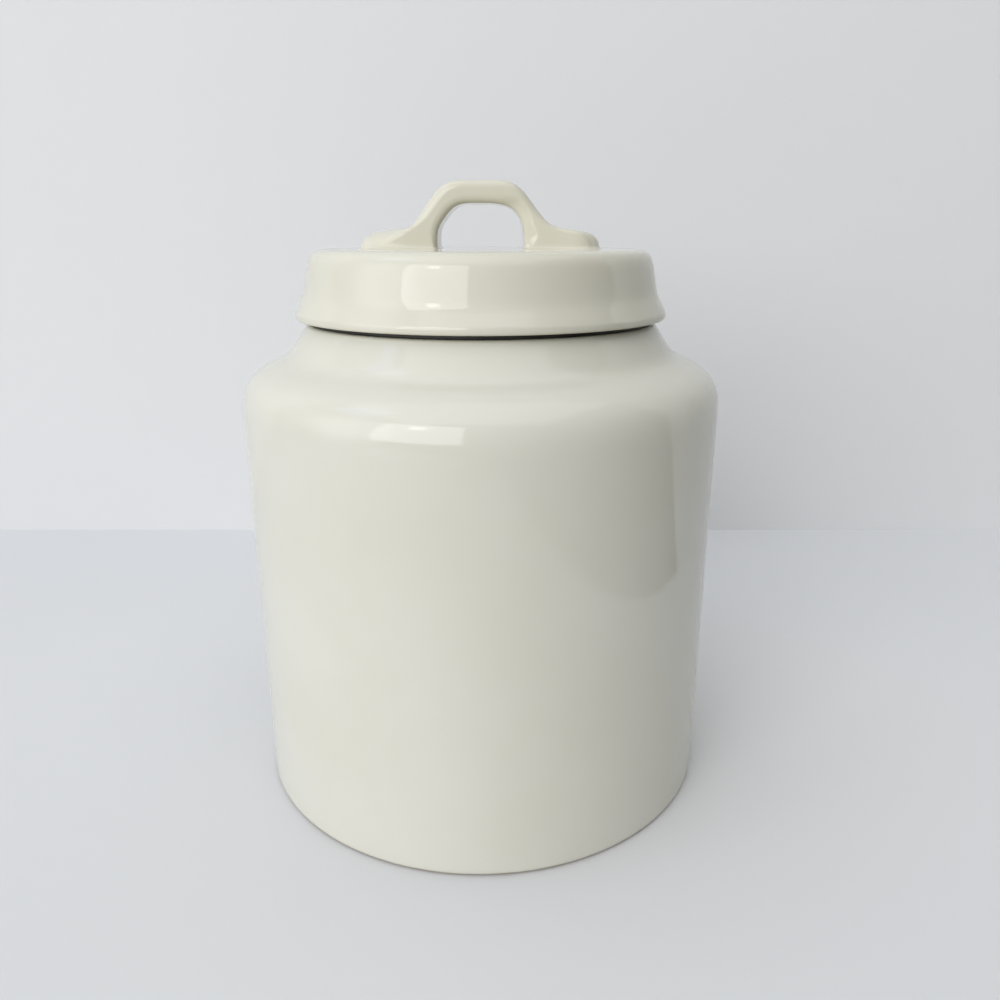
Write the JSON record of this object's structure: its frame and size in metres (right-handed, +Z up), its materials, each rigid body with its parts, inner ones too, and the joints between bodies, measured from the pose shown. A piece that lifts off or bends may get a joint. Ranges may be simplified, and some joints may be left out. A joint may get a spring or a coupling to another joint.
{
  "type": "cookie jar",
  "caption": "Round glazed stoneware jar with a sloping shoulder and a lift-off lid that has a strap handle and a ring seal.",
  "frame": {"origin": "middle of the foot, on the surface that the jar stands on", "axes": "+Z up along the jar's axis; the handle's strap runs along X and is looked through along Y, with the front at -Y"},
  "size_m": [0.18, 0.18, 0.229],
  "materials": {
    "jar_glaze": "gloss cream glaze",
    "lid_glaze": "gloss cream glaze",
    "handle_glaze": "gloss cream glaze",
    "silicone": "matt dark grey silicone"
  },
  "bodies": {
    "jar": {"jar_body": "jar_glaze"},
    "seal": {"lid_seal": "silicone"},
    "lid": {"lid": "lid_glaze", "lid_handle": "handle_glaze"}
  },
  "joints": [
    {"name": "lid_lift", "type": "slide", "parent": "jar", "child": "seal", "axis": [0, 0, 1], "range_m": [0, 0.12]},
    {"name": "lid_turn", "type": "hinge", "parent": "seal", "child": "lid", "pos_m": [0, 0, 0.1817], "axis": [0, 0, 1], "continuous": true}
  ]
}
